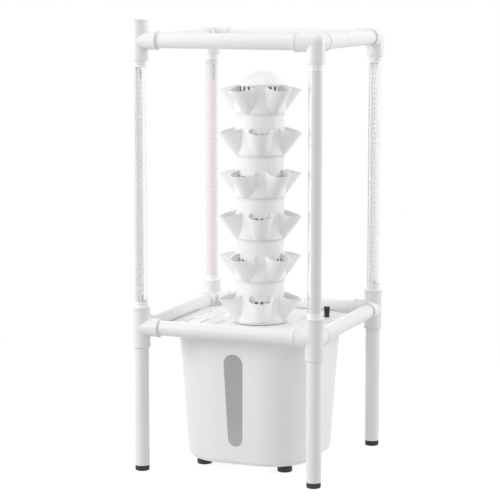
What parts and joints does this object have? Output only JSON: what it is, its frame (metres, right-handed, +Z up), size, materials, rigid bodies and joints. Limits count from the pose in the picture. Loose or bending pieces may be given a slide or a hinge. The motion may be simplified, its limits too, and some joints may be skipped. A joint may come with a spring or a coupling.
{
  "type": "hydroponic tower",
  "caption": "Free-standing hydroponic growing tower: stacked planting layers with leaning pods on a water tank, inside a white pipe frame with lamp tubes as posts.",
  "frame": {"origin": "on the floor, under the middle of the tower and of the frame", "axes": "+Z up along the tower, +X to the right along the front rail, -Y towards the front with the sight window"},
  "size_m": [0.4302, 0.4302, 0.96],
  "materials": {
    "frame_white": "white rigid pipe, satin gloss",
    "foot_black": "black moulded rubber",
    "tank_white": "white moulded plastic, satin",
    "window_grey": "grey see-through plastic",
    "lamp_clear": "clear plastic tube",
    "lamp_back": "opaque white plastic",
    "lamp_board": "pink coated board",
    "lamp_cap": "white plastic cap",
    "pump_black": "black moulded plastic",
    "impeller_grey": "grey moulded plastic",
    "hose_clear": "white pipe",
    "layer_white": "white moulded plastic, satin gloss"
  },
  "bodies": {
    "root": {"leg_front_left": "frame_white", "leg_front_right": "frame_white", "leg_back_right": "frame_white", "leg_back_left": "frame_white", "leg_feet": "foot_black", "lower_cross_front_left": "frame_white", "lower_cross_front_right": "frame_white", "lower_cross_back_right": "frame_white", "lower_cross_back_left": "frame_white", "lower_rail_front": "frame_white", "lower_rail_right": "frame_white", "lower_rail_back": "frame_white", "lower_rail_left": "frame_white", "upper_cross_front_left": "frame_white", "upper_elbow_front_right": "frame_white", "upper_elbow_back_right": "frame_white", "upper_elbow_back_left": "frame_white", "upper_rail_front": "frame_white", "upper_rail_right": "frame_white", "upper_rail_back": "frame_white", "upper_rail_left": "frame_white", "tank_body": "tank_white", "sight_window": "window_grey", "tank_feet": "foot_black"},
    "lamp_front_left": {"lamp_cover_front_left": "lamp_clear", "lamp_housing_front_left": "lamp_back", "lamp_board_front_left": "lamp_board", "lamp_caps_front_left": "lamp_cap"},
    "lamp_front_right": {"lamp_cover_front_right": "lamp_clear", "lamp_housing_front_right": "lamp_back", "lamp_board_front_right": "lamp_board", "lamp_caps_front_right": "lamp_cap"},
    "lamp_back_right": {"lamp_cover_back_right": "lamp_clear", "lamp_housing_back_right": "lamp_back", "lamp_board_back_right": "lamp_board", "lamp_caps_back_right": "lamp_cap"},
    "lamp_back_left": {"lamp_cover_back_left": "lamp_clear", "lamp_housing_back_left": "lamp_back", "lamp_board_back_left": "lamp_board", "lamp_caps_back_left": "lamp_cap"},
    "lid": {"tank_lid": "tank_white", "pump_housing": "pump_black", "pump_intake_cover": "pump_black", "riser_pipe": "hose_clear", "water_spreader": "layer_white"},
    "bung": {"filling_bung": "foot_black"},
    "impeller": {"pump_impeller": "impeller_grey"},
    "layer_1": {"planting_layer_1": "layer_white"},
    "layer_2": {"planting_layer_2": "layer_white"},
    "layer_3": {"planting_layer_3": "layer_white"},
    "layer_4": {"planting_layer_4": "layer_white"},
    "layer_5": {"planting_layer_5": "layer_white"},
    "layer_6": {"planting_layer_6": "layer_white"},
    "dome": {"dome_cap": "layer_white"}
  },
  "joints": [
    {"name": "lamp_front_left_turn", "type": "hinge", "parent": "root", "child": "lamp_front_left", "pos_m": [-0.195, -0.195, 0.412], "axis": [0, 0, 1], "range_deg": [-90, 90]},
    {"name": "lamp_front_right_turn", "type": "hinge", "parent": "root", "child": "lamp_front_right", "pos_m": [0.195, -0.195, 0.412], "axis": [0, 0, 1], "range_deg": [-90, 90]},
    {"name": "lamp_back_right_turn", "type": "hinge", "parent": "root", "child": "lamp_back_right", "pos_m": [0.195, 0.195, 0.412], "axis": [0, 0, 1], "range_deg": [-90, 90]},
    {"name": "lamp_back_left_turn", "type": "hinge", "parent": "root", "child": "lamp_back_left", "pos_m": [-0.195, 0.195, 0.412], "axis": [0, 0, 1], "range_deg": [-90, 90]},
    {"name": "lid_lift", "type": "slide", "parent": "root", "child": "lid", "axis": [0, 0, 1], "range_m": [0, 0.3]},
    {"name": "bung_pull", "type": "slide", "parent": "lid", "child": "bung", "axis": [0, 0, 1], "range_m": [0, 0.03]},
    {"name": "impeller_spin", "type": "hinge", "parent": "lid", "child": "impeller", "pos_m": [0, 0, 0.0409], "axis": [1, 0, 0], "continuous": true},
    {"name": "layer_1_turn", "type": "hinge", "parent": "lid", "child": "layer_1", "pos_m": [0, 0, 0.3087], "axis": [0, 0, 1], "continuous": true},
    {"name": "layer_2_turn", "type": "hinge", "parent": "layer_1", "child": "layer_2", "pos_m": [0, 0, 0.399], "axis": [0, 0, 1], "continuous": true},
    {"name": "layer_3_turn", "type": "hinge", "parent": "layer_2", "child": "layer_3", "pos_m": [0, 0, 0.4893], "axis": [0, 0, 1], "continuous": true},
    {"name": "layer_4_turn", "type": "hinge", "parent": "layer_3", "child": "layer_4", "pos_m": [0, 0, 0.5796], "axis": [0, 0, 1], "continuous": true},
    {"name": "layer_5_turn", "type": "hinge", "parent": "layer_4", "child": "layer_5", "pos_m": [0, 0, 0.6699], "axis": [0, 0, 1], "continuous": true},
    {"name": "layer_6_turn", "type": "hinge", "parent": "layer_5", "child": "layer_6", "pos_m": [0, 0, 0.7602], "axis": [0, 0, 1], "continuous": true},
    {"name": "dome_lift", "type": "slide", "parent": "layer_6", "child": "dome", "axis": [0, 0, 1], "range_m": [0, 0.06]}
  ]
}
